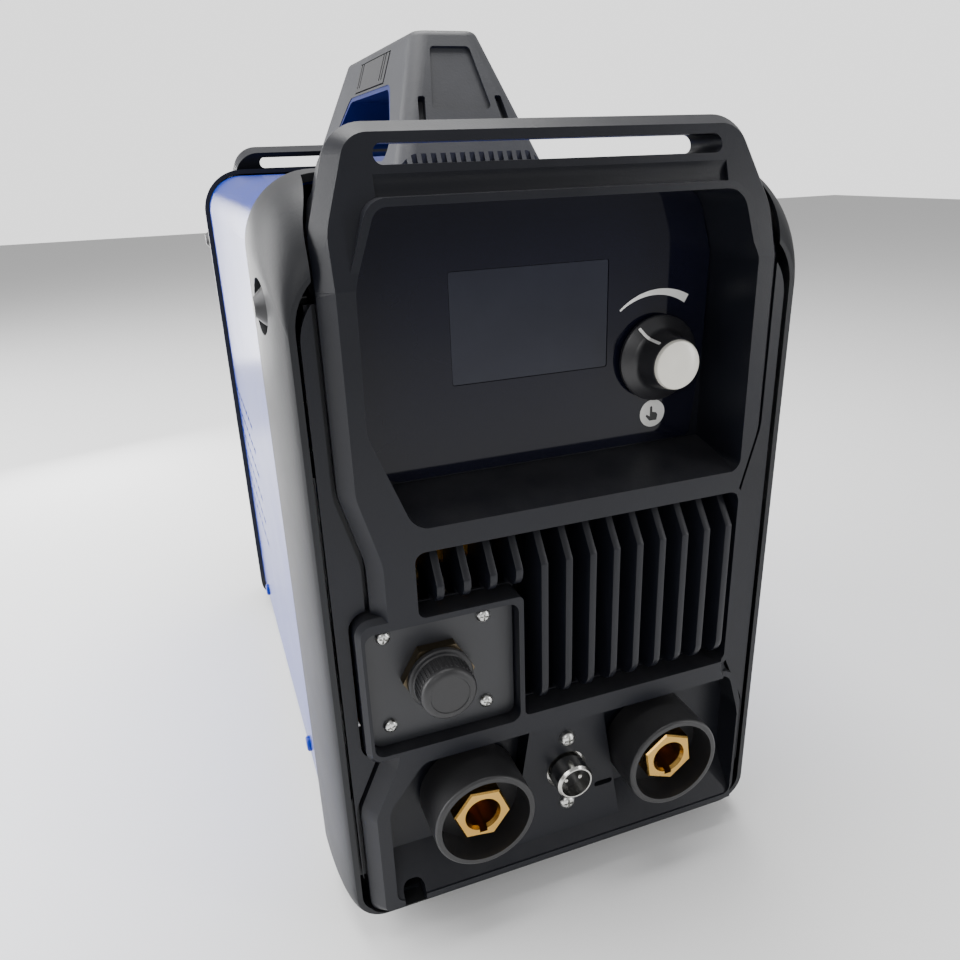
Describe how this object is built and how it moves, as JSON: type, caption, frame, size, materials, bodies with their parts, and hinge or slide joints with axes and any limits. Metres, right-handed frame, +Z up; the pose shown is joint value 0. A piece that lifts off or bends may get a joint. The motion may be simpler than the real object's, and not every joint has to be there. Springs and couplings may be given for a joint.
{
  "type": "tig welding machine",
  "caption": "Portable inverter TIG welding machine: moulded end bezels, sheet cover, carrying handle, recessed display, vent and welding sockets.",
  "frame": {"origin": "bottom centre of the bounding box, on the surface that the feet stand on", "axes": "+X to the right seen from the front, the front faces -Y, +Z up"},
  "size_m": [0.1988, 0.366, 0.347],
  "materials": {
    "bezel_plastic": "fine moulded grain, satin",
    "frame_plastic": "satin",
    "panel_gloss": "high gloss",
    "display_glass": "dark glossy window",
    "cover_blue": "gloss powder coat",
    "handle_plastic": "fine moulded grain",
    "liner_blue": "satin",
    "soft_rubber": "matt",
    "black_screw": "black oxide",
    "zinc_steel": "bright zinc",
    "dark_steel": "plain",
    "socket_plastic": "satin",
    "plate_black": "satin",
    "brass": "machined",
    "dull_bronze": "dull",
    "nickel": "nickel plate",
    "ivory_plastic": "smooth",
    "galvanised": "galvanised sheet",
    "heatsink_metal": "extruded",
    "copper": "copper",
    "ferrite": "ferrite and varnished winding",
    "yellow_winding": "varnished wire and tape",
    "board_green": "solder mask",
    "component_dark": "moulded",
    "can_sleeve": "shrink sleeve",
    "rail_plastic": "glass filled",
    "hose_rubber": "smooth",
    "fan_plastic": "moulded",
    "switch_plastic": "moulded",
    "rocker_red": "smooth"
  },
  "bodies": {
    "root": {"front_shell": "bezel_plastic", "rear_shell": "bezel_plastic", "front_frame": "frame_plastic", "rear_frame": "frame_plastic", "front_fascia": "frame_plastic", "front_grille": "frame_plastic", "display_panel": "panel_gloss", "lcd_module": "display_glass", "cover": "cover_blue", "cover_screws": "cover_blue", "handle_body": "handle_plastic", "handle_liner": "liner_blue", "grip_pads": "soft_rubber", "feet": "soft_rubber", "shell_screws": "black_screw", "gas_plate_screws": "zinc_steel", "connector_screws": "zinc_steel", "foot_screws": "zinc_steel", "handle_screws": "zinc_steel", "fan_screws": "zinc_steel", "socket_nuts": "zinc_steel", "encoder_nut": "dark_steel", "socket_collars": "socket_plastic", "connector_insulator": "socket_plastic", "gas_plate": "plate_black", "socket_inserts": "brass", "gas_fitting": "brass", "gas_inlet": "brass", "gas_valve_body": "brass", "gas_nut": "dull_bronze", "connector_shell": "nickel", "connector_pins": "nickel", "base_pan": "galvanised", "deck_bracket": "galvanised", "heatsinks": "heatsink_metal", "busbars": "copper", "output_choke": "copper", "transformer": "ferrite", "ignition_coil": "yellow_winding", "control_board": "board_green", "power_board": "board_green", "power_modules": "component_dark", "board_parts": "component_dark", "gas_valve_coil": "component_dark", "encoder_body": "component_dark", "capacitors": "can_sleeve", "heatsink_rails": "rail_plastic", "gas_hoses": "hose_rubber", "fan_frame": "fan_plastic", "switch_body": "switch_plastic", "cable_gland": "switch_plastic", "gland_nut": "switch_plastic"},
    "encoder_push": {"encoder_plunger": "dark_steel"},
    "knob": {"knob_skirt": "socket_plastic", "knob_cap": "ivory_plastic", "knob_shaft": "dark_steel"},
    "gas_cap": {"gas_cap": "socket_plastic"},
    "fan": {"fan_rotor": "fan_plastic"},
    "rocker": {"switch_rocker": "rocker_red"},
    "valve_plunger": {"gas_valve_plunger": "dark_steel"}
  },
  "joints": [
    {"name": "encoder_press", "type": "slide", "parent": "root", "child": "encoder_push", "axis": [0, 1, 0], "range_m": [0, 0.0012], "stiffness_N_per_m": 2500, "springref_m": -0.0006},
    {"name": "knob_turn", "type": "hinge", "parent": "encoder_push", "child": "knob", "pos_m": [0.0488, -0.151, 0.2232], "axis": [0, 1, 0], "continuous": true},
    {"name": "gas_cap_off", "type": "slide", "parent": "root", "child": "gas_cap", "axis": [0, -1, 0], "range_m": [0, 0.014]},
    {"name": "fan_spin", "type": "hinge", "parent": "root", "child": "fan", "pos_m": [0, 0.151, 0.15], "axis": [0, 1, 0], "continuous": true},
    {"name": "switch_tip", "type": "hinge", "parent": "root", "child": "rocker", "pos_m": [0.055, 0.164, 0.245], "axis": [1, 0, 0], "range_deg": [0, 24]},
    {"name": "valve_lift", "type": "slide", "parent": "root", "child": "valve_plunger", "axis": [0, 0, 1], "range_m": [0, 0.002], "stiffness_N_per_m": 400, "springref_m": -0.002}
  ]
}
